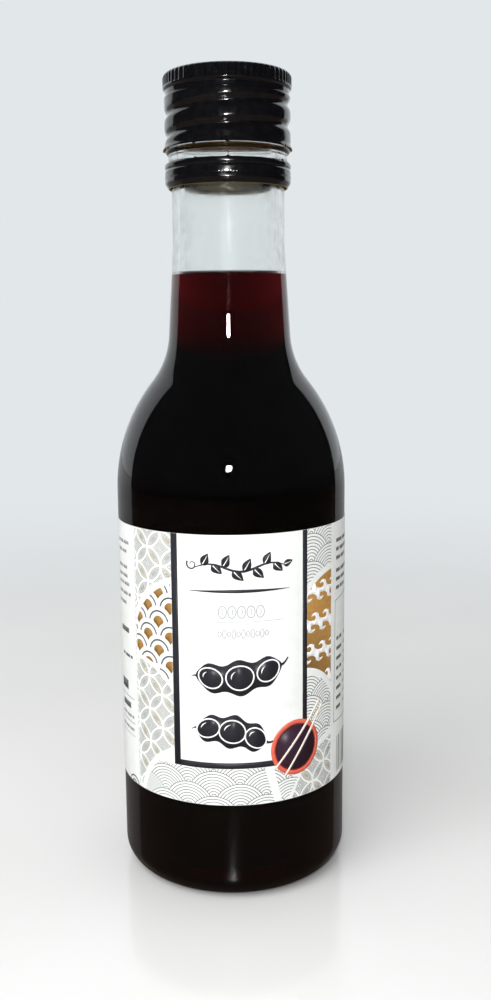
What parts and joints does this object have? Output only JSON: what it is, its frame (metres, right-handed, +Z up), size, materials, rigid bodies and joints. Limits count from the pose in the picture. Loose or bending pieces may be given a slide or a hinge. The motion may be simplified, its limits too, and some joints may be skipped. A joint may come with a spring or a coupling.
{
  "type": "soy sauce bottle",
  "caption": "Filled clear glass bottle of soy sauce with a black rolled aluminium screw cap, a broken tamper band and a patterned paper label.",
  "frame": {"origin": "middle of the base, on the surface the bottle stands on", "axes": "+Z up the bottle's axis, -Y out of the middle of the label, +X to the label's right"},
  "size_m": [0.0582, 0.0582, 0.1989],
  "materials": {
    "clear_glass": "clear flint glass, faintly green in the thick places",
    "sauce": "clear dark liquid, red-black where thin and black in the body",
    "black_lacquer": "gloss black lacquer on thin aluminium sheet, gold lacquer inside",
    "label_paper": "coated white paper with a black frame and grey, olive and gold wave and circle patterns"
  },
  "bodies": {
    "root": {"glass_bottle": "clear_glass", "soy_sauce": "sauce", "cap_shell": "black_lacquer", "tamper_band": "black_lacquer", "label": "label_paper"}
  },
  "joints": []
}
